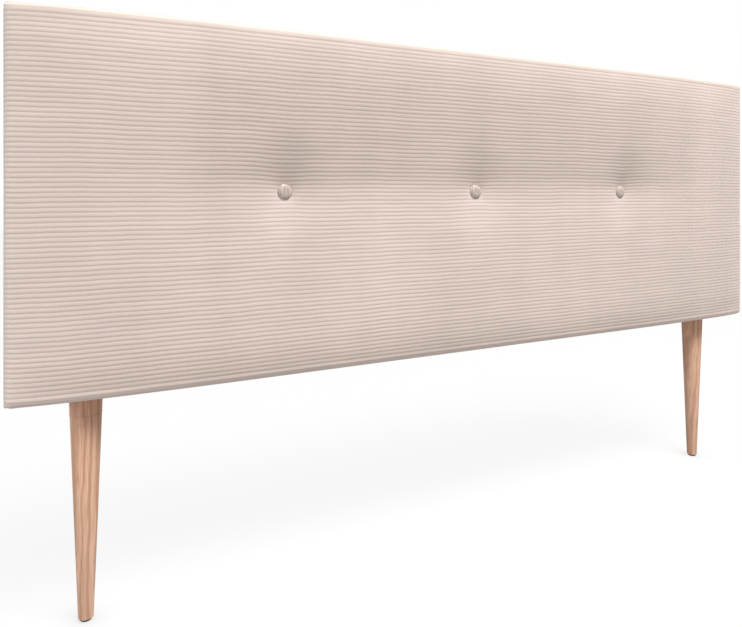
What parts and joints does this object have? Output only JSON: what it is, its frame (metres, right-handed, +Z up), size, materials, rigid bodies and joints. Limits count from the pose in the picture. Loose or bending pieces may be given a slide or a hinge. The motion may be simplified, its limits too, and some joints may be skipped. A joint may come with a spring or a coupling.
{
  "type": "headboard",
  "caption": "Low upholstered headboard: a padded corduroy panel with tufted covered buttons, on slim round tapered wooden legs.",
  "frame": {"origin": "on the floor, under the middle of the headboard's bounding box", "axes": "+X along the width towards the right-hand leg as seen from the front, +Y out of the back of the panel, so the padded face looks to -Y, +Z up"},
  "size_m": [1.6, 0.0894, 0.911],
  "materials": {
    "corduroy": "broad-ribbed corduroy pile in a warm pale pink beige",
    "wadding": "white polyester wadding",
    "foam": "open-cell upholstery foam",
    "board": "raw hardboard",
    "dust_cloth": "black non-woven dust cover cloth",
    "frame_timber": "planed softwood",
    "leg_wood": "fine-grained pale hardwood under a satin clear lacquer",
    "steel": "bright zinc plated",
    "twine": "waxed upholstery twine",
    "plastic": "dark moulded plastic"
  },
  "bodies": {
    "root": {"fabric_cover": "corduroy", "wadding": "wadding", "foam_pad": "foam", "face_board": "board", "dust_cover": "dust_cloth", "top_rail": "frame_timber", "bottom_rail": "frame_timber", "left_end_stile": "frame_timber", "left_inner_stile": "frame_timber", "right_inner_stile": "frame_timber", "right_end_stile": "frame_timber", "button_covers": "corduroy", "button_shells": "steel", "button_backs": "steel", "tuft_twines": "twine", "tuft_anchors": "plastic", "insert_nuts": "steel", "hanger_bolts": "steel", "left_leg": "leg_wood", "right_leg": "leg_wood", "glides": "plastic"}
  },
  "joints": []
}
